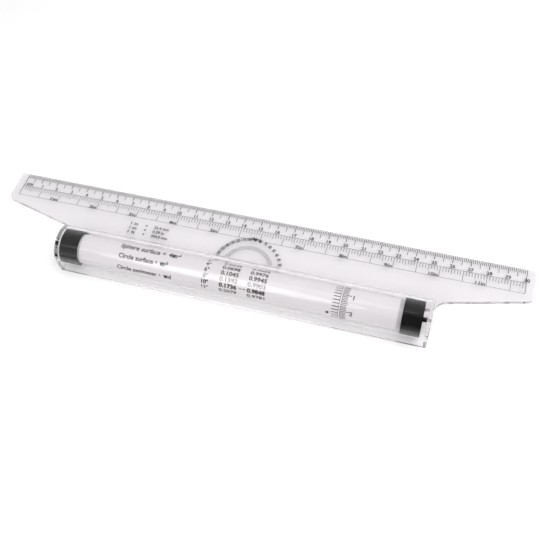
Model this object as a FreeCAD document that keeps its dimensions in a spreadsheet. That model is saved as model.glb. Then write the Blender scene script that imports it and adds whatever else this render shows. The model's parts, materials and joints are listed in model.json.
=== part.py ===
import FreeCAD, Part
import math
import os
import re

import Sketcher

# A 30 cm rolling ruler: a clear ruler whose front edge carries an arched housing, and in the
# housing a roller with a rubber tyre at each end, which turns on two stub axles.
#
# Frame: X along the ruler, Y across it towards the scale edge, Z up from the paper. The origin is
# the middle of the whole object's footprint, at the height of the paper.

SIZES = {
    # ruler body
    "blade_length": 309.6,
    "whole_depth": 58.2,  # from the front of the housing to the scale edge
    "blade_thickness": 2.6,
    "scale_edge_thickness": 1.2,
    "bevel_width": 14.0,
    "blade_end_depth": 19.5,  # straight end of the blade, from the scale edge
    "shoulder_angle": 13.6,  # degrees, between the tapered shoulder and X
    "scale_corner_radius": 0.8,
    "shoulder_corner_radius": 3.0,
    "shoulder_fillet_radius": 8.0,
    "paper_clearance": 0.2,  # the tyres stand this far below the body
    # roller housing
    "housing_length": 209.6,
    "arch_radius": 11.5,
    "arch_wall": 1.5,
    "end_wall": 1.8,
    "arch_blend": 1.2,  # radius where the arch runs into the blade's top
    "arch_end_rounding": 0.3,
    "boss_radius": 1.95,
    "boss_height": 1.2,
    "bore_clearance": 0.05,
    "slot_width": 2.4,  # a little narrower than the axle, so that it snaps in
    "slot_mouth_width": 4.0,
    "slot_mouth_height": 1.6,
    # roller
    "roller_length": 203.0,  # over the tyres
    "roller_offset": -1.1,  # the roller lies at the left end of its side play
    "tyre_radius": 9.55,  # 60 mm round the tread
    "tyre_width": 10.5,
    "tyre_rounding": 0.35,
    "hub_radius": 7.7,
    "hub_recess": 1.1,  # from the tyre's outer face in to the hub's face
    "thrust_pad_radius": 3.2,
    "dish_outer_radius": 6.6,
    "dish_depth": 0.5,
    "axle_radius": 1.35,
    "axle_length": 3.3,
    "axle_chamfer": 0.3,
    "spigot_length": 9.0,
    "spigot_wall": 1.5,
    "plug_floor": 1.5,
    "tube_radius": 8.2,
    "tube_wall": 1.0,
    "label_thickness": 0.12,
    "label_gap_left": 1.2,
    "label_gap_right": 2.3,
    # where the turned pieces' outlines start
    "centre_line": 0.0,
    "inner_face": 0.0,  # a tyre's face towards the tube, and the plug's face there
}

# Sizes that follow from the driving ones.
DERIVED = {
    "axis_y": "arch_radius - whole_depth / 2",
    "axis_z": "tyre_radius",
    "scale_edge_y": "whole_depth / 2",
    "blade_end_y": "scale_edge_y - blade_end_depth",
    "shoulder_run": "(blade_length - housing_length) / 2",
    "shoulder_y": "blade_end_y - shoulder_run * tan(shoulder_angle * 1 deg)",
    "blade_top_z": "paper_clearance + blade_thickness",
    "bevel_slope": "(blade_thickness - scale_edge_thickness) / bevel_width",
    "tunnel_radius": "arch_radius - arch_wall",
    "tunnel_length": "housing_length - 2 * end_wall",
    "bore_radius": "axle_radius + bore_clearance",
    "hub_face": "tyre_width - hub_recess",
    "tyre_start": "roller_length / 2 - tyre_width",
    "tube_bore_radius": "tube_radius - tube_wall",
}

doc = FreeCAD.newDocument("rolling_ruler")
sheet = doc.addObject("Spreadsheet::Sheet", "Sizes")
spare = doc.addObject("Spreadsheet::Sheet", "Spare")


def formula(text):
    """A formula over the aliases, as an object's expression: each alias after the sheet's name."""
    names = set(SIZES) | set(DERIVED)

    def named(match):
        word = match.group()
        return f"Sizes.{word}" if word in names else word

    return re.sub(r"[a-z_]+", named, text)


def fill_sheet():
    """One row for each size: its name, its value and its alias."""
    rows = [(alias, str(value)) for alias, value in SIZES.items()]
    rows += [(alias, "=" + text) for alias, text in DERIVED.items()]
    for number, (alias, content) in enumerate(rows, start=1):
        sheet.set(f"A{number}", alias)
        sheet.set(f"B{number}", content)
        sheet.setAlias(f"B{number}", alias)
        sheet.recompute()
    doc.recompute()


def value_of(text):
    """A formula's value, worked out in the spare sheet's only cell."""
    spare.set("A1", "=" + formula(text))
    spare.recompute()
    return float(spare.get("A1"))


# ---- sketches and features ----


def new_body(label):
    body = doc.addObject("PartDesign::Body", label)
    body.Label = label
    return body


def new_sketch(body, role, name):
    """An empty sketch on one of the body's own origin planes."""
    sketch = body.newObject("Sketcher::SketchObject", name)
    plane = [f for f in body.Origin.OriginFeatures if f.Role == role][0]
    sketch.AttachmentSupport = [(plane, "")]
    sketch.MapMode = "FlatFace"
    return sketch


def dimension(sketch, kind, text, *references):
    """A dimension of the sketch, bound to a formula."""
    index = sketch.addConstraint(Sketcher.Constraint(kind, *references, value_of(text)))
    sketch.setExpression(f"Constraints[{index}]", formula(text))


def fix_point(sketch, geometry, end, x_text, y_text):
    """Ties a point of the sketch to two formulas, measured from the sketch's origin."""
    dimension(sketch, "DistanceX", x_text, -1, 1, geometry, end)
    dimension(sketch, "DistanceY", y_text, -1, 1, geometry, end)


def polygon(sketch, corners):
    """A closed outline of straight lines through corners, each of which is two formulas."""
    count = len(corners)
    points = [FreeCAD.Vector(value_of(x), value_of(y), 0) for x, y in corners]
    for i in range(count):
        sketch.addGeometry(Part.LineSegment(points[i], points[(i + 1) % count]), False)
    for i in range(count):
        sketch.addConstraint(Sketcher.Constraint("Coincident", i, 2, (i + 1) % count, 1))
    for i, (x_text, y_text) in enumerate(corners):
        fix_point(sketch, i, 1, x_text, y_text)


def circle(sketch, x_text, y_text, radius_text):
    centre = FreeCAD.Vector(value_of(x_text), value_of(y_text), 0)
    shape = Part.Circle(centre, FreeCAD.Vector(0, 0, 1), value_of(radius_text))
    index = sketch.addGeometry(shape, False)
    fix_point(sketch, index, 3, x_text, y_text)
    dimension(sketch, "Radius", radius_text, index)


def tunnel_outline(sketch, radius_text, bottom_text):
    """An upright outline with a half-round top about the roller's axis and a flat bottom."""
    y, z = value_of("axis_y"), value_of("axis_z")
    radius, bottom = value_of(radius_text), value_of(bottom_text)
    front_low, back_low = FreeCAD.Vector(y - radius, bottom, 0), FreeCAD.Vector(y + radius, bottom, 0)
    front_high, back_high = FreeCAD.Vector(y - radius, z, 0), FreeCAD.Vector(y + radius, z, 0)
    top = Part.Circle(FreeCAD.Vector(y, z, 0), FreeCAD.Vector(0, 0, 1), radius)
    floor, back, arch, front = sketch.addGeometry(
        [
            Part.LineSegment(front_low, back_low),
            Part.LineSegment(back_low, back_high),
            Part.ArcOfCircle(top, 0, math.pi),
            Part.LineSegment(front_high, front_low),
        ],
        False,
    )
    for kind, *references in (
        ("Coincident", floor, 2, back, 1),
        ("Tangent", back, 2, arch, 1),
        ("Tangent", arch, 2, front, 1),
        ("Coincident", front, 2, floor, 1),
        ("Horizontal", floor),
        ("Vertical", back),
        ("Vertical", front),
    ):
        sketch.addConstraint(Sketcher.Constraint(kind, *references))
    fix_point(sketch, arch, 3, "axis_y", "axis_z")
    dimension(sketch, "Radius", radius_text, arch)
    dimension(sketch, "DistanceY", bottom_text, -1, 1, floor, 1)


def concave_blend(sketch):
    """The corner between the arch's back and the blade's top, left by a quarter round."""
    y, z = value_of("axis_y + arch_radius"), value_of("blade_top_z")
    radius = value_of("arch_blend")
    corner = FreeCAD.Vector(y, z, 0)
    high, far = FreeCAD.Vector(y, z + radius, 0), FreeCAD.Vector(y + radius, z, 0)
    hollow = Part.Circle(FreeCAD.Vector(y + radius, z + radius, 0), FreeCAD.Vector(0, 0, 1), radius)
    upright, level, arc = sketch.addGeometry(
        [
            Part.LineSegment(high, corner),
            Part.LineSegment(corner, far),
            Part.ArcOfCircle(hollow, math.pi, 1.5 * math.pi),
        ],
        False,
    )
    for kind, *references in (
        ("Coincident", upright, 2, level, 1),
        ("Coincident", level, 2, arc, 2),
        ("Coincident", upright, 1, arc, 1),
        ("Vertical", upright),
        ("Horizontal", level),
    ):
        sketch.addConstraint(Sketcher.Constraint(kind, *references))
    fix_point(sketch, level, 1, "axis_y + arch_radius", "blade_top_z")
    dimension(sketch, "DistanceX", "arch_blend", level, 1, level, 2)
    dimension(sketch, "DistanceY", "arch_blend", upright, 2, upright, 1)
    dimension(sketch, "Radius", "arch_blend", arc)


def add(body, kind, sketch, name, length_text, symmetric=False):
    """A Pad or Pocket of a sketch. A symmetric one runs half its length to each side."""
    feature = body.newObject(f"PartDesign::{kind}", name)
    feature.Profile = sketch
    feature.setExpression("Length", formula(length_text))
    if symmetric:
        feature.SideType = "Symmetric"
    sketch.Visibility = False
    doc.recompute()
    return feature


def round_edges(body, name, radius_text, wanted):
    """A Fillet on every edge of the body so far for which wanted(edge) is true."""
    base = body.Tip
    names = [f"Edge{i}" for i, edge in enumerate(base.Shape.Edges, start=1) if wanted(edge)]
    feature = body.newObject("PartDesign::Fillet", name)
    feature.Base = (base, names)
    feature.setExpression("Radius", formula(radius_text))
    doc.recompute()
    return feature


def turned(body, corners):
    """A full Revolution of an outline about the body's X axis. Corners are (along X, radius)."""
    sketch = new_sketch(body, "XY_Plane", f"{body.Name}_outline")
    polygon(sketch, corners)
    doc.recompute()
    feature = body.newObject("PartDesign::Revolution", f"{body.Name}_turned")
    feature.Profile = sketch
    feature.ReferenceAxis = (sketch, ["H_Axis"])
    feature.Angle = 360.0
    sketch.Visibility = False
    doc.recompute()
    return feature


# ---- the ruler body ----


def upright_edge_at(x_text, y_text):
    """A test for an upright edge that stands at this X, on either side of the middle, and this Y."""
    x, y = value_of(x_text), value_of(y_text)

    def test(edge):
        if len(edge.Vertexes) != 2:
            return False
        foot, head = (vertex.Point for vertex in edge.Vertexes)
        upright = abs(foot.x - head.x) < 0.01 and abs(foot.y - head.y) < 0.01
        return upright and abs(abs(foot.x) - x) < 0.01 and abs(foot.y - y) < 0.01

    return test


def build_blade(body):
    """The flat blade with its rounded corners, and behind the scale edge the bevel."""
    plan = new_sketch(body, "XY_Plane", "blade_plan")
    plan.setExpression("AttachmentOffset.Base.z", formula("paper_clearance"))
    polygon(
        plan,
        [
            ("-blade_length / 2", "scale_edge_y"),
            ("-blade_length / 2", "blade_end_y"),
            ("-housing_length / 2", "shoulder_y"),
            ("-housing_length / 2", "axis_y"),
            ("housing_length / 2", "axis_y"),
            ("housing_length / 2", "shoulder_y"),
            ("blade_length / 2", "blade_end_y"),
            ("blade_length / 2", "scale_edge_y"),
        ],
    )
    add(body, "Pad", plan, "blade", "blade_thickness")
    for name, radius_text, x_text, y_text in (
        ("scale_corners", "scale_corner_radius", "blade_length / 2", "scale_edge_y"),
        ("end_corners", "shoulder_corner_radius", "blade_length / 2", "blade_end_y"),
        ("shoulders", "shoulder_fillet_radius", "housing_length / 2", "shoulder_y"),
    ):
        round_edges(body, name, radius_text, upright_edge_at(x_text, y_text))
    bevel = new_sketch(body, "YZ_Plane", "bevel_section")
    polygon(
        bevel,
        [
            ("scale_edge_y - bevel_width", "blade_top_z"),
            ("scale_edge_y + 1", "paper_clearance + scale_edge_thickness - bevel_slope"),
            ("scale_edge_y + 1", "blade_top_z + 1"),
            ("scale_edge_y - bevel_width", "blade_top_z + 1"),
        ],
    )
    add(body, "Pocket", bevel, "scale_bevel", "blade_length + 2", symmetric=True)


def build_housing(body):
    """The arched housing over the roller: a block with a half-round top, hollowed from below."""
    outside = new_sketch(body, "YZ_Plane", "housing_section")
    tunnel_outline(outside, "arch_radius", "paper_clearance")
    add(body, "Pad", outside, "housing", "housing_length", symmetric=True)
    blend = new_sketch(body, "YZ_Plane", "blend_section")
    concave_blend(blend)
    add(body, "Pad", blend, "blend_to_blade", "housing_length", symmetric=True)
    end_x, plate_top = value_of("housing_length / 2"), value_of("blade_top_z + arch_blend")

    def outer_end_arc(edge):
        box = edge.BoundBox
        on_end = abs(abs(box.XMin) - end_x) < 0.01 and box.XLength < 0.01
        return on_end and (box.ZMax > plate_top + 1)

    round_edges(body, "arch_end_edges", "arch_end_rounding", outer_end_arc)
    inside = new_sketch(body, "YZ_Plane", "tunnel_section")
    tunnel_outline(inside, "tunnel_radius", "paper_clearance - 1")
    add(body, "Pocket", inside, "tunnel", "tunnel_length", symmetric=True)


def build_bearings(body):
    """The boss in each end wall, the axle's bore through it, and the slot that the axle snaps in by."""
    boss = new_sketch(body, "YZ_Plane", "boss_section")
    boss.setExpression("AttachmentOffset.Base.z", formula("tunnel_length / 2 - boss_height"))
    circle(boss, "axis_y", "axis_z", "boss_radius")
    pad = add(body, "Pad", boss, "boss", "boss_height + end_wall / 2")
    pair = body.newObject("PartDesign::Mirrored", "boss_pair")
    pair.Originals = [pad]
    plane = [f for f in body.Origin.OriginFeatures if f.Role == "YZ_Plane"][0]
    pair.MirrorPlane = (plane, [""])
    body.Tip = pair
    doc.recompute()
    bore = new_sketch(body, "YZ_Plane", "bore_section")
    circle(bore, "axis_y", "axis_z", "bore_radius")
    add(body, "Pocket", bore, "axle_bores", "housing_length + 2", symmetric=True)
    slot = new_sketch(body, "YZ_Plane", "slot_section")
    mouth_top = "paper_clearance + slot_mouth_height"
    polygon(
        slot,
        [
            ("axis_y - slot_width / 2", "axis_z"),
            ("axis_y - slot_width / 2", mouth_top),
            ("axis_y - slot_mouth_width / 2", "paper_clearance"),
            ("axis_y - slot_mouth_width / 2", "paper_clearance - 1"),
            ("axis_y + slot_mouth_width / 2", "paper_clearance - 1"),
            ("axis_y + slot_mouth_width / 2", "paper_clearance"),
            ("axis_y + slot_width / 2", mouth_top),
            ("axis_y + slot_width / 2", "axis_z"),
        ],
    )
    add(body, "Pocket", slot, "snap_slots", "housing_length + 2", symmetric=True)


def build_ruler_body():
    body = new_body("ruler_body")
    build_blade(body)
    build_housing(body)
    build_bearings(body)
    return body


# ---- the roller: each piece is turned about its own X axis and then placed on the roller's axis ----


def place_on_axis(body, x_text, turned_round=False):
    """Puts a piece on the roller's axis. A piece turned round points to the left."""
    half_turn = FreeCAD.Rotation(FreeCAD.Vector(0, 0, 1), 180 if turned_round else 0)
    body.Placement = FreeCAD.Placement(FreeCAD.Vector(0, 0, 0), half_turn)
    for axis, text in (("x", x_text), ("y", "axis_y"), ("z", "axis_z")):
        body.setExpression(f"Placement.Base.{axis}", formula(text))
    doc.recompute()


def build_tube():
    body = new_body("roller_tube")
    turned(
        body,
        [
            ("-tyre_start", "tube_bore_radius"),
            ("tyre_start", "tube_bore_radius"),
            ("tyre_start", "tube_radius"),
            ("-tyre_start", "tube_radius"),
        ],
    )
    place_on_axis(body, "roller_offset")
    return body


def build_label():
    body = new_body("roller_label")
    turned(
        body,
        [
            ("label_gap_left - tyre_start", "tube_radius"),
            ("tyre_start - label_gap_right", "tube_radius"),
            ("tyre_start - label_gap_right", "tube_radius + label_thickness"),
            ("label_gap_left - tyre_start", "tube_radius + label_thickness"),
        ],
    )
    place_on_axis(body, "roller_offset")
    return body


def build_tyre(side, left):
    """A tyre, from its inner face outwards along X."""
    body = new_body(f"{side}_tyre")
    turned(
        body,
        [
            ("inner_face", "hub_radius"),
            ("tyre_width", "hub_radius"),
            ("tyre_width", "tyre_radius"),
            ("inner_face", "tyre_radius"),
        ],
    )
    tread = value_of("tyre_radius")

    def rim(edge):
        return hasattr(edge.Curve, "Radius") and abs(edge.Curve.Radius - tread) < 0.01

    round_edges(body, f"{side}_tyre_rims", "tyre_rounding", rim)
    place_on_axis(body, "roller_offset - tyre_start" if left else "roller_offset + tyre_start", left)
    return body


def build_plug(side, left):
    """An end plug, from the tyre's inner face: a hollow spigot inwards, the hub and axle outwards."""
    body = new_body(f"{side}_end_plug")
    turned(
        body,
        [
            ("-spigot_length", "tube_bore_radius - spigot_wall"),
            ("-spigot_length", "tube_bore_radius"),
            ("inner_face", "tube_bore_radius"),
            ("inner_face", "hub_radius"),
            ("hub_face", "hub_radius"),
            ("hub_face", "dish_outer_radius"),
            ("hub_face - dish_depth", "dish_outer_radius"),
            ("hub_face - dish_depth", "thrust_pad_radius"),
            ("hub_face", "thrust_pad_radius"),
            ("hub_face", "axle_radius"),
            ("hub_face + axle_length - axle_chamfer", "axle_radius"),
            ("hub_face + axle_length", "axle_radius - axle_chamfer"),
            ("hub_face + axle_length", "centre_line"),
            ("plug_floor", "centre_line"),
            ("plug_floor", "tube_bore_radius - spigot_wall"),
        ],
    )
    place_on_axis(body, "roller_offset - tyre_start" if left else "roller_offset + tyre_start", left)
    return body


# ---- checks and output ----


def check_document():
    for thing in doc.Objects:
        if any(state in ("Invalid", "Error") for state in thing.State):
            raise RuntimeError(f"{thing.Name} did not recompute: {thing.State}")


def write(body):
    shape = body.Shape
    if shape.isNull() or not shape.isValid() or len(shape.Solids) != 1:
        raise RuntimeError(f"{body.Label} is not one valid solid")
    shape.exportStep(os.path.join("parts", f"{body.Label}.step"))
    box = shape.optimalBoundingBox(False)
    print(
        f"{body.Label:16s} {shape.Volume:10.1f} mm3   x {box.XMin:8.2f} {box.XMax:8.2f}"
        f"   y {box.YMin:7.2f} {box.YMax:7.2f}   z {box.ZMin:6.2f} {box.ZMax:6.2f}"
    )


fill_sheet()
pieces = [
    build_ruler_body(),
    build_tube(),
    build_label(),
    build_tyre("left", True),
    build_tyre("right", False),
    build_plug("left", True),
    build_plug("right", False),
]
doc.removeObject(spare.Name)
doc.recompute()
check_document()
os.makedirs("parts", exist_ok=True)
for piece in pieces:
    write(piece)
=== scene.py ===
"""A clear rolling ruler on a white table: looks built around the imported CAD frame.

Lengths are in millimetres and turned into metres by MM. X runs along the scale from 0 to 30 cm,
Y from the roller to the scale edge, Z up from the table.
"""

import json
import math

import bmesh
import bpy
from mathutils import Matrix, Quaternion, Vector

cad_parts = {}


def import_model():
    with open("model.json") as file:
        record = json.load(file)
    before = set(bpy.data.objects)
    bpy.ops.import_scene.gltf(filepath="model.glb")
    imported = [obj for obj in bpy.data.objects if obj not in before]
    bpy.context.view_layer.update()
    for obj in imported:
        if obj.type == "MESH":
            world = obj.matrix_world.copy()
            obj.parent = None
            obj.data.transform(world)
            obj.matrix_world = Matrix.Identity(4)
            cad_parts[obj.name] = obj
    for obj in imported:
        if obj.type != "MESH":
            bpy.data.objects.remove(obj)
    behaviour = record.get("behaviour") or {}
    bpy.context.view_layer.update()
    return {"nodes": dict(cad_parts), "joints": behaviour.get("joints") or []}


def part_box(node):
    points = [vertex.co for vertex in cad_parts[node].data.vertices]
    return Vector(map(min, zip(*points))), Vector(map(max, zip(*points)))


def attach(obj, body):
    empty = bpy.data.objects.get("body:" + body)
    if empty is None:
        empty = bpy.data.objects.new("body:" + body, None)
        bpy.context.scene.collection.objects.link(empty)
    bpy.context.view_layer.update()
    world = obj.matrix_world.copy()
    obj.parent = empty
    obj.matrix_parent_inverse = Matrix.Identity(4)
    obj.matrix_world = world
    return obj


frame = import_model()

MM = 0.001
UP = Vector((0, 0, 1))

# The frame: the highest corners of two nodes' boxes, and a point on the roller's axis
BLADE_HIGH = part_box("ruler_body")[1] / MM
LABEL_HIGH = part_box("roller_label")[1] / MM
AXIS = Vector(frame["joints"][0]["pos_m"]) / MM
LABEL_RADIUS = LABEL_HIGH.z - AXIS.z

# The blade's top face: flat up to the crease, then a bevel that falls by 0.1 for each unit of Y
BLADE_TOP = 2.8
BEVEL_WIDTH = 14.0
BEVEL_FALL = 0.1
CREASE = BLADE_HIGH.y - BEVEL_WIDTH

# Ink is a thin solid, with its foot a little under the surface that it is printed on
INK = 0.03
INK_FOOT = -0.01

# A digit's height, as a part of the font's size
DIGIT_HEIGHT = 0.69

# The scales: X of their ends, Y of the line that the inch numbers stand on, and the size of an inch
SCALE_START, SCALE_END = -150.0, 150.0
INCH_FOOT = 13.2
INCH = 25.4

# The longest step of printing round the label, along the curve and in degrees
STEP_ROUND = 0.35
STEP_DEGREES = 3.0

# The table's side, and how far it lies below the tyres, so that no two faces are in one plane
TABLE_SIDE = 2400.0
TABLE_DROP = 0.01

# The direction from the ruler to the dark side of the studio
DARK_SIDE = Vector((0.35, -0.75, 0.56)).normalized()

# Light that enters a cut edge bounces between the blade's faces many times before it comes out
EDGE_BOUNCES = 14


# ---------------------------------------------------------------- materials

class Nodes:
    """The node tree of a material or a world, emptied and built up again."""

    def __init__(self, owner):
        owner.use_nodes = True
        self.tree = owner.node_tree
        self.tree.nodes.clear()

    def add(self, kind, **values):
        """A new node. values are its settings, and its sockets with _ for each space."""
        made = self.tree.nodes.new("ShaderNode" + kind)
        for key, value in values.items():
            if hasattr(made, key):
                setattr(made, key, value)
            else:
                made.inputs[key.replace("_", " ")].default_value = value
        return made

    def link(self, value, socket):
        """Feeds value, an output, into socket, an input."""
        self.tree.links.new(value, socket)

    def noise(self, scale, detail, stretch=(1, 1, 1)):
        """Noise in the piece's own coordinates; scale counts features per metre."""
        place = self.add("TexCoord")
        spread = self.add("Mapping", Scale=stretch)
        grain = self.add("TexNoise", Scale=scale, Detail=detail)
        self.link(place.outputs["Object"], spread.inputs["Vector"])
        self.link(spread.outputs["Vector"], grain.inputs["Vector"])
        return grain.outputs["Fac"]

    def remap(self, value, low, high, start=0.3, end=0.7, smooth=False):
        """A number that runs from low to high, as value runs from start to end."""
        ramp = self.add("MapRange", From_Min=start, From_Max=end, To_Min=low, To_Max=high)
        if smooth:
            ramp.interpolation_type = "SMOOTHSTEP"
        self.link(value, ramp.inputs["Value"])
        return ramp.outputs["Result"]

    def combine(self, operation, first, second, clamp=False):
        """The result of operation on two numbers, kept between 0 and 1 where clamp is set."""
        made = self.add("Math", operation=operation, use_clamp=clamp)
        self.link(first, made.inputs[0])
        self.link(second, made.inputs[1])
        return made.outputs[0]

    def two_tones(self, value, dark, light):
        """A colour that runs from dark to light with value."""
        ramp = self.add("ValToRGB")
        for stop, position, colour in zip(ramp.color_ramp.elements, (0.3, 0.7), (dark, light)):
            stop.position = position
            stop.color = (*colour, 1)
        self.link(value, ramp.inputs["Fac"])
        return ramp.outputs["Color"]

    def relief(self, height, strength, distance):
        """The normal of a surface with bumps that are distance high, in metres."""
        bump = self.add("Bump", Strength=strength, Distance=distance)
        self.link(height, bump.inputs["Height"])
        return bump.outputs["Normal"]

    def mix(self, amount, first, second):
        """The first shader where amount is 0, and the second where it is 1."""
        either = self.add("MixShader")
        self.link(amount, either.inputs[0])
        self.link(first, either.inputs[1])
        self.link(second, either.inputs[2])
        return either.outputs[0]

    def end(self, shader, output="OutputMaterial"):
        """Makes shader the look of the surface, or of the background of a world."""
        self.link(shader, self.add(output).inputs[0])


def clear_plastic():
    """Moulded clear plastic. Lamps and diffuse light pass straight through it, slightly dimmed."""
    material = bpy.data.materials.new("clear_plastic")
    nodes = Nodes(material)
    body = nodes.add("BsdfPrincipled", Base_Color=(0.95, 0.935, 0.95, 1), IOR=1.49,
                     Transmission_Weight=1.0)
    waves = nodes.noise(55.0, 2.0, (0.35, 1, 1))
    haze = nodes.noise(700.0, 4.0)
    nodes.link(nodes.relief(waves, 0.12, 0.0004), body.inputs["Normal"])
    nodes.link(nodes.remap(haze, 0.01, 0.05), body.inputs["Roughness"])
    lit = nodes.add("BsdfTransparent", Color=(0.908, 0.90, 0.908, 1)).outputs[0]
    path = nodes.add("LightPath")
    seen = nodes.mix(path.outputs["Is Diffuse Ray"], body.outputs[0], lit)
    nodes.end(nodes.mix(path.outputs["Is Shadow Ray"], seen, lit))
    return material


def solid(name, dark, light, grain, rough, bump, stretch=(1, 1, 1), **values):
    """An opaque material: two tones of colour, a roughness range and a fine grain.

    grain counts features per metre, and bump is the strength and the height of their relief.
    """
    material = bpy.data.materials.new(name)
    nodes = Nodes(material)
    body = nodes.add("BsdfPrincipled", **values)
    spots = nodes.noise(grain, 4.0, stretch)
    nodes.link(nodes.two_tones(spots, dark, light), body.inputs["Base Color"])
    nodes.link(nodes.remap(spots, *rough), body.inputs["Roughness"])
    nodes.link(nodes.relief(spots, *bump), body.inputs["Normal"])
    nodes.end(body.outputs[0])
    return material


def print_ink():
    """Dark printing ink, with a soft shine."""
    return solid("print_ink", (0.010, 0.010, 0.012), (0.022, 0.021, 0.024), 1500.0,
                 (0.45, 0.6), (0.1, 0.00001))


def dress():
    """Gives every CAD node its finish."""
    rubber = solid("black_rubber", (0.003, 0.003, 0.003), (0.007, 0.0065, 0.007), 2600.0,
                   (0.55, 0.75), (0.35, 0.00006), Specular_IOR_Level=0.15)
    plastic = solid("black_plastic", (0.003, 0.003, 0.0032), (0.006, 0.006, 0.0062), 900.0,
                    (0.30, 0.45), (0.15, 0.00003))
    tube = solid("white_plastic", (0.48, 0.48, 0.49), (0.56, 0.56, 0.57), 260.0,
                 (0.35, 0.5), (0.1, 0.00004), (0.2, 1, 1))
    label = solid("printed_label", (0.77, 0.755, 0.755), (0.82, 0.805, 0.805), 60.0,
                  (0.40, 0.55), (0.05, 0.00003), (0.4, 1, 1))
    finishes = {
        "ruler_body": clear_plastic(),
        "roller_tube": tube,
        "roller_label": label,
        "left_tyre": rubber,
        "right_tyre": rubber,
        "left_end_plug": plastic,
        "right_end_plug": plastic,
    }
    for name, material in finishes.items():
        slots = frame["nodes"][name].data.materials
        slots.clear()
        slots.append(material)


# ---------------------------------------------------------------- printing

def on_blade(x, y, height):
    """A point on the blade's top face, height above it."""
    return Vector((x, y, BLADE_TOP - BEVEL_FALL * max(0.0, y - CREASE) + height)) * MM


def on_roller(x, angle, height):
    """A point on the label, at an angle in degrees from +Y over the top."""
    radius = LABEL_RADIUS + height
    turn = math.radians(angle)
    return Vector((x, AXIS.y + radius * math.cos(turn), AXIS.z + radius * math.sin(turn))) * MM


def by_step(k, steps, usual):
    """What steps gives for the first of its numbers that divides k, or else the usual value."""
    return next((value for step, value in steps if k % step == 0), usual)


def letters(words, height, align, weight):
    """A bmesh of thin solid letters along +X, with digits that are height tall and feet on y = 0."""
    curve = bpy.data.curves.new("letters", "FONT")
    curve.body = words
    curve.align_x = align
    curve.size = height / DIGIT_HEIGHT
    curve.resolution_u = 3
    curve.offset = weight
    curve.extrude = INK / 2
    line = bpy.data.objects.new("letters", curve)
    bpy.context.scene.collection.objects.link(line)
    bpy.context.view_layer.update()
    graph = bpy.context.evaluated_depsgraph_get()
    mesh = bpy.data.meshes.new_from_object(line.evaluated_get(graph))
    shapes = bmesh.new()
    shapes.from_mesh(mesh)
    bmesh.ops.remove_doubles(shapes, verts=shapes.verts, dist=1e-4)
    bpy.data.objects.remove(line)
    bpy.data.curves.remove(curve)
    bpy.data.meshes.remove(mesh)
    return shapes


def cut_across(shapes, height):
    """Cuts letters into strips low enough to follow the label's curve."""
    for k in range(-2, math.ceil(height / STEP_ROUND) + 2):
        parts = shapes.verts[:] + shapes.edges[:] + shapes.faces[:]
        bmesh.ops.bisect_plane(shapes, geom=parts, plane_co=(0, k * STEP_ROUND, 0),
                               plane_no=(0, 1, 0))


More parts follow.
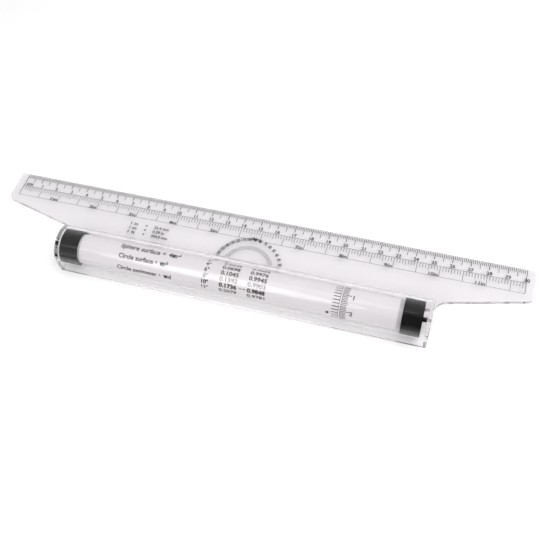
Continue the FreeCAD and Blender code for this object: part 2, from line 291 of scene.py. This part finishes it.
class Print:
    """Thin closed ink shapes, gathered into one piece."""

    def __init__(self, name, body, material):
        self.name, self.body, self.material = name, body, material
        self.points, self.faces = [], []

    def shape(self, points, faces):
        """Adds faces through points, which they count from 0."""
        first = len(self.points)
        self.points += points
        self.faces += [[first + corner for corner in face] for face in faces]

    def patch(self, corners, place):
        """A flat four-cornered bar of ink through the (u, v) corners, anticlockwise from above."""
        low = [place(u, v, INK_FOOT) for u, v in corners]
        high = [place(u, v, INK_FOOT + INK) for u, v in corners]
        sides = [[k, (k + 1) % 4, 4 + (k + 1) % 4, 4 + k] for k in range(4)]
        self.shape(low + high, [[3, 2, 1, 0], [4, 5, 6, 7]] + sides)

    def bar(self, x0, x1, y0, y1):
        """A bar on the blade, cut in two where the bevel starts."""
        spans = [(y0, CREASE), (CREASE, y1)] if y0 < CREASE < y1 else [(y0, y1)]
        for low, high in spans:
            self.patch([(x0, low), (x1, low), (x1, high), (x0, high)], on_blade)

    def tick(self, x, y0, y1, width):
        """A bar across the blade, with its middle at x."""
        self.bar(x - width / 2, x + width / 2, y0, y1)

    def line(self, y, width):
        """A bar along the whole scale, with its middle at y."""
        self.bar(SCALE_START, SCALE_END, y - width / 2, y + width / 2)

    def spoke(self, centre, angle, inner, outer, width):
        """A short bar on the blade that points away from centre."""
        out = Vector((math.cos(angle), math.sin(angle)))
        side = Vector((-out.y, out.x)) * width / 2
        corners = [centre + out * inner - side, centre + out * outer - side,
                   centre + out * outer + side, centre + out * inner + side]
        self.patch([tuple(c) for c in corners], on_blade)

    def roller_bar(self, x0, x1, angle0, angle1):
        """A bar on the label, in steps small enough to follow its curve."""
        count = max(1, math.ceil((angle1 - angle0) / STEP_DEGREES))
        for k in range(count):
            a, b = (angle0 + (angle1 - angle0) * t / count for t in (k, k + 1))
            self.patch([(x0, a), (x0, b), (x1, b), (x1, a)], on_roller)

    def text(self, words, height, place, align="CENTER", width=None, weight=0.0, cut=False):
        """Letters put down by place(x, y, above), where x is 0 at the end or middle that align names.

        width is how long the whole line is, where its letters are set closer or wider than usual.
        weight makes their strokes heavier, and cut is for a line on the roller.
        """
        shapes = letters(words, height, align, weight)
        if cut:
            cut_across(shapes, height)
        shapes.verts.index_update()
        reach = [v.co.x for v in shapes.verts]
        left, right = min(reach), max(reach)
        stretch = width / (right - left) if width else 1.0
        start = {"LEFT": left, "CENTER": (left + right) / 2, "RIGHT": right}[align]
        above = INK_FOOT + INK / 2
        self.shape([place((v.co.x - start) * stretch, v.co.y, v.co.z + above) for v in shapes.verts],
                   [[v.index for v in face.verts] for face in shapes.faces])
        shapes.free()

    def blade_text(self, words, x, y, height, turn=0.0, **looks):
        """Letters on the blade, with their foot at (x, y), turned by an angle in radians."""
        c, s = math.cos(turn), math.sin(turn)

        def place(u, v, above):
            return on_blade(x + u * c - v * s, y + u * s + v * c, above)
        self.text(words, height, place, **looks)

    def roller_text(self, words, x, angle, height, **looks):
        """Letters along the label, with the middle of their height at an angle in degrees."""
        def place(u, v, above):
            return on_roller(x + u, angle - math.degrees((v - height / 2) / LABEL_RADIUS), above)
        self.text(words, height, place, cut=True, **looks)

    def done(self):
        """Makes the piece."""
        mesh = bpy.data.meshes.new(self.name)
        mesh.from_pydata(self.points, [], self.faces)
        mesh.materials.append(self.material)
        mesh.validate()
        piece = bpy.data.objects.new(self.name, mesh)
        bpy.context.scene.collection.objects.link(piece)
        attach(piece, self.body)


def centimetre_scale(ink):
    """Millimetre ticks from the scale edge, and 1 to 30 under the centimetre ticks.

    The ticks at the two ends are long, and reach down to the inch numbers.
    """
    edge, foot = BLADE_HIGH.y - 0.1, 20.8
    ticks = Print("centimetre_ticks", "ruler", ink)
    for k in range(301):
        low, width = by_step(k, ((300, (INCH_FOOT, 0.3)), (10, (24.0, 0.36)), (5, (23.4, 0.26))),
                             (26.3, 0.28))
        ticks.tick(SCALE_START + k, low, edge, width)
    ticks.done()
    numbers = Print("centimetre_numbers", "ruler", ink)
    for k in range(1, 31):
        right = min(SCALE_START + 10 * k + 1.8, BLADE_HIGH.x - 1.0)
        numbers.blade_text(str(k), right, foot, 2.1, align="RIGHT", weight=0.07)
    numbers.blade_text("cm", SCALE_START + 1.1, foot, 2.3, align="LEFT", width=4.2, weight=0.08)
    numbers.done()


def inch_scale(ink):
    """Sixteenths of an inch hanging from a line, with the inches numbered on a second line."""
    top = 20.1
    ticks = Print("inch_ticks", "ruler", ink)
    ticks.line(top, 0.2)
    ticks.line(INCH_FOOT, 0.16)
    for k in range(1, math.ceil((SCALE_END - SCALE_START) / INCH * 16)):
        low = by_step(k, ((8, INCH_FOOT), (4, 16.3)), 17.2)
        ticks.tick(SCALE_START + k * INCH / 16, low, top, 0.22)
    ticks.done()
    numbers = Print("inch_numbers", "ruler", ink)
    for k in range(1, 12):
        width = 4.4 if k < 10 else 5.2
        numbers.blade_text(f"{k}in", SCALE_START + k * INCH - 0.5, INCH_FOOT, 2.0, align="RIGHT",
                           width=width, weight=0.07)
    numbers.done()


def protractor(ink):
    """A half circle of degree ticks with its numbers outside it, where the housing meets the blade."""
    centre = Vector((-0.5, -5.8))
    outer, number_radius, digit_width = 15.0, 18.3, 0.92
    ticks = Print("protractor_ticks", "ruler", ink)
    for degree in range(0, 181, 2):
        inner = 12.0 if degree % 10 == 0 else 12.5
        ticks.spoke(centre, math.radians(degree), inner, outer, 0.11)
    ticks.done()
    numbers = Print("protractor_numbers", "ruler", ink)
    for degree in range(0, 181, 10):
        words, angle = str(degree), math.radians(degree)
        foot = centre + Vector((math.cos(angle), math.sin(angle))) * number_radius
        numbers.blade_text(words, foot.x, foot.y, 1.9, turn=angle - math.pi / 2,
                           width=digit_width * len(words), weight=0.09)
    numbers.done()


def conversions(ink):
    """Three rows of unit conversions."""
    notes = Print("conversion_notes", "ruler", ink)
    top, pitch, height, weight = 7.8, 2.95, 1.8, 0.05
    rows = (("1 in", "25.4 mm", 9.0), ("1 cm", "0.39 in", 7.0), ("1 ft", "304.8 mm", 10.0))
    for k, (left, right, width) in enumerate(rows):
        y = top - pitch * k
        notes.blade_text(left, -75.0, y, height, align="LEFT", width=4.4, weight=weight)
        notes.blade_text("=", -65.3, y, height, weight=weight)
        notes.blade_text(right, -60.5, y, height, align="LEFT", width=width, weight=weight)
    notes.done()


def roller_formulas(ink):
    """Three formulas along the roller.

    A row gives its angle and height, its words and where they start and end, and then the same for
    its formula.
    """
    lines = Print("roller_formulas", "roller", ink)
    rows = ((70, 3.2, "Sphere surface", -68.0, -45.0, "4πr²", -40.0, -33.0),
            (112, 2.4, "Circle surface", -67.5, -47.3, "πr²", -43.2, -38.7),
            (158, 2.6, "Circle perimeter", -68.0, -44.5, "πd", -40.5, -36.2))
    for angle, height, words, start, end, formula, left, right in rows:
        for text, x0, x1 in ((words, start, end), ("=", end + 1.4, left - 1.9), (formula, left, right)):
            lines.roller_text(text, x0, angle, height, align="LEFT", width=x1 - x0, weight=0.10)
    lines.done()


def roller_table(ink):
    """Sines and cosines, every 2 degrees, in rows round the roller: the 10 degree row is bold, and
    the 8 degree row is thinned as a painted highlight, where a highlight washes it out.

    Two dashes stand between the numbers of the bold row, which is at 144 degrees.
    """
    table = Print("roller_table", "roller", ink)
    # The 8 degree row's thin strokes are a painted highlight; the 10 degree row is printed bold
    height, bold_and_highlight_thinned_weights = 2.2, {8: 0.02, 10: 0.15}
    for k in range(6):
        degree, row = 2 * (k + 1), 52 + 23 * k
        angle = math.radians(degree)
        weight = bold_and_highlight_thinned_weights.get(degree, 0.08)
        table.roller_text(f"{degree}°", -16.8, row, height, weight=weight)
        for value, middle in ((math.sin(angle), -3.8), (math.cos(angle), 12.0)):
            table.roller_text(f"{value:.4f}", middle, row, height, width=10.0, weight=weight)
    for start in (2.6, 4.6):
        table.roller_bar(start, start + 1.4, 142.5, 145.5)
    table.done()


def roller_dial(ink):
    """A dial round the roller, between two rings, and a short mark a little to the left of it.

    A tick every 6 degrees is a millimetre of travel, as the tread is 60 mm round.
    """
    near, far, zero = 56.9, 57.9, 28
    dial = Print("roller_dial", "roller", ink)
    for edge in (near, far):
        dial.roller_bar(edge - 0.1, edge + 0.1, 0, 360)
    for k in range(30):
        angle = 2 + 12 * k
        dial.roller_bar(53.3, near, angle - 1.4, angle + 1.4)
    for k in range(60):
        angle = zero + 6 * k
        reach = by_step(k, ((10, 62.6), (5, 61.6)), 60.9)
        dial.roller_bar(far, reach, angle - 1.1, angle + 1.1)
    dial.roller_bar(50.5, 52.0, 160, 172)
    dial.done()
    numbers = Print("roller_dial_numbers", "roller", ink)
    for k in range(6):
        numbers.roller_text(str(k), 63.8, zero + 60 * k + 5, 2.3, weight=0.12)
    numbers.done()


# ---------------------------------------------------------------- studio

def white_table():
    """Matt white card, with painted shade in its mirror images in two places.

    Reflections of it are painted grey in front of the ruler, as if the lit area ended there, and a
    little for light that has bounced inside the plastic many times.
    """
    material = bpy.data.materials.new("white_table")
    nodes = Nodes(material)
    card = nodes.add("BsdfDiffuse")
    # Painted reflection shade: a grey that the table shows only in mirror images
    painted_reflection_grey = nodes.add("BsdfDiffuse", Color=(0.20, 0.20, 0.20, 1))
    spots = nodes.noise(3.0, 3.0)
    nodes.link(nodes.two_tones(spots, (0.88, 0.88, 0.88), (0.90, 0.90, 0.90)), card.inputs["Color"])
    place, split, path = nodes.add("NewGeometry"), nodes.add("SeparateXYZ"), nodes.add("LightPath")
    nodes.link(place.outputs["Position"], split.inputs[0])
    # Painted shade in reflections: grey in front of the ruler from the first glossy bounce, and up to
    # 0.3 more after several bounces
    depth = path.outputs["Glossy Depth"]
    front = nodes.remap(split.outputs["Y"], 0.0, 1.0, start=-30 * MM, end=-120 * MM, smooth=True)
    once = nodes.combine("MULTIPLY", depth, front, clamp=True)
    often = nodes.remap(depth, 0.0, 0.3, start=1.0, end=4.0)
    painted_reflection_shade = nodes.combine("MAXIMUM", once, often)
    nodes.end(nodes.mix(painted_reflection_shade, card.outputs[0], painted_reflection_grey.outputs[0]))
    return material


def floor():
    """The top of the table."""
    bpy.ops.mesh.primitive_plane_add(size=TABLE_SIDE * MM, location=(0, 0, -TABLE_DROP * MM))
    plane = bpy.context.object
    plane.name = "table"
    plane.data.materials.append(white_table())


def world():
    """A white studio: bright all round, less so overhead, and dark round the camera."""
    sky = bpy.data.worlds.new("studio")
    bpy.context.scene.world = sky
    nodes = Nodes(sky)
    place, split = nodes.add("TexCoord"), nodes.add("SeparateXYZ")
    nodes.link(place.outputs["Generated"], split.inputs[0])
    height = nodes.add("ValToRGB")
    tones = height.color_ramp.elements
    tones.remove(tones[1])
    tones[0].color = (0.9, 0.9, 0.9, 1)
    for position, bright in ((0.4, 0.8), (0.67, 0.55), (0.9, 0.35)):
        tones.new(position).color = (bright, bright, bright, 1)
    nodes.link(split.outputs["Z"], height.inputs["Fac"])
    facing = nodes.add("VectorMath", operation="DOT_PRODUCT")
    facing.inputs[1].default_value = DARK_SIDE
    nodes.link(place.outputs["Generated"], facing.inputs[0])
    hole = nodes.remap(facing.outputs["Value"], 1.0, 0.04, start=0.52, end=0.88, smooth=True)
    shade = nodes.add("Mix", data_type="RGBA", blend_type="MULTIPLY", Factor=1.0)
    nodes.link(height.outputs["Color"], shade.inputs[6])
    nodes.link(hole, shade.inputs[7])
    studio = nodes.add("Background")
    nodes.link(shade.outputs[2], studio.inputs["Color"])
    backdrop = nodes.add("Background", Color=(1, 1, 1, 1))
    path = nodes.add("LightPath")
    either = nodes.mix(path.outputs["Is Camera Ray"], studio.outputs[0], backdrop.outputs[0])
    nodes.end(either, "OutputWorld")


def softbox(name, shape, place, aim, size, glow, turn=0):
    """An area light at place that faces aim. size is its width and height, turn is in degrees."""
    width, height = (side * MM for side in size)
    lamp = bpy.data.lights.new(name, "AREA")
    lamp.shape = shape
    lamp.size = width
    lamp.size_y = height
    lamp.energy = 4.0 * glow * width * height * (math.pi / 4 if shape == "ELLIPSE" else 1.0)
    box = bpy.data.objects.new(name, lamp)
    bpy.context.scene.collection.objects.link(box)
    away = (Vector(place) - Vector(aim)).normalized()
    box.location = Vector(place) * MM
    box.rotation_mode = "QUATERNION"
    box.rotation_quaternion = away.to_track_quat("Z", "Y") @ Quaternion((0, 0, 1), math.radians(turn))
    return box


def lights():
    """A round key light that is brightest in its middle and a faint strip, both seen in the plastic.

    A low front fill and a wide ceiling light the table, and are not seen.
    """
    for k in range(3):
        spread = 0.55 + 0.3 * k
        softbox(f"key_{k}", "ELLIPSE", place=(-118, -306 - k, 393 + k), aim=(-18, -18, 10),
                size=(270 * spread, 340 * spread), glow=0.9)
    softbox("strip", "RECTANGLE", place=(-130, -156, 400), aim=(-130, -156, 0), size=(500, 150),
            glow=0.45, turn=44)
    fill = softbox("fill", "RECTANGLE", place=(150, -700, 250), aim=(0, -20, 5), size=(600, 200),
                   glow=1.9)
    ceiling = softbox("ceiling", "RECTANGLE", place=(1200, 100, 1200), aim=(1200, 100, 0),
                      size=(2400, 2400), glow=1.67)
    for lamp in (fill, ceiling):
        lamp.visible_camera = lamp.visible_glossy = lamp.visible_transmission = False


def camera():
    """A normal lens above the front right, with the scale running down to the right."""
    azimuth, elevation, roll = map(math.radians, (22.836, 60.411, -8.494))
    target, distance = Vector((16.014, -4.532, 0.0)), 440.289
    back = Vector((math.sin(azimuth) * math.cos(elevation),
                   -math.cos(azimuth) * math.cos(elevation), math.sin(elevation)))
    level = UP.cross(back).normalized()
    rise = back.cross(level)
    right = level * math.cos(roll) + rise * math.sin(roll)
    upward = rise * math.cos(roll) - level * math.sin(roll)
    lens = bpy.data.cameras.new("camera")
    lens.lens, lens.sensor_width = 51.553, 36.0
    lens.clip_start, lens.clip_end = 10 * MM, 20000 * MM
    view = bpy.data.objects.new("camera", lens)
    bpy.context.scene.collection.objects.link(view)
    turn = Matrix((right, upward, back)).transposed().to_4x4()
    view.matrix_world = Matrix.Translation((target + back * distance) * MM) @ turn
    bpy.context.scene.camera = view


def light_paths():
    """Keeps colours as they are, and lets light bounce often enough for the cut edges."""
    bpy.context.scene.view_settings.view_transform = "Standard"
    paths = bpy.context.scene.cycles
    paths.max_bounces = paths.glossy_bounces = paths.transmission_bounces = EDGE_BOUNCES


dress()
ink = print_ink()
centimetre_scale(ink)
inch_scale(ink)
protractor(ink)
conversions(ink)
roller_formulas(ink)
roller_table(ink)
roller_dial(ink)
floor()
world()
lights()
light_paths()
camera()
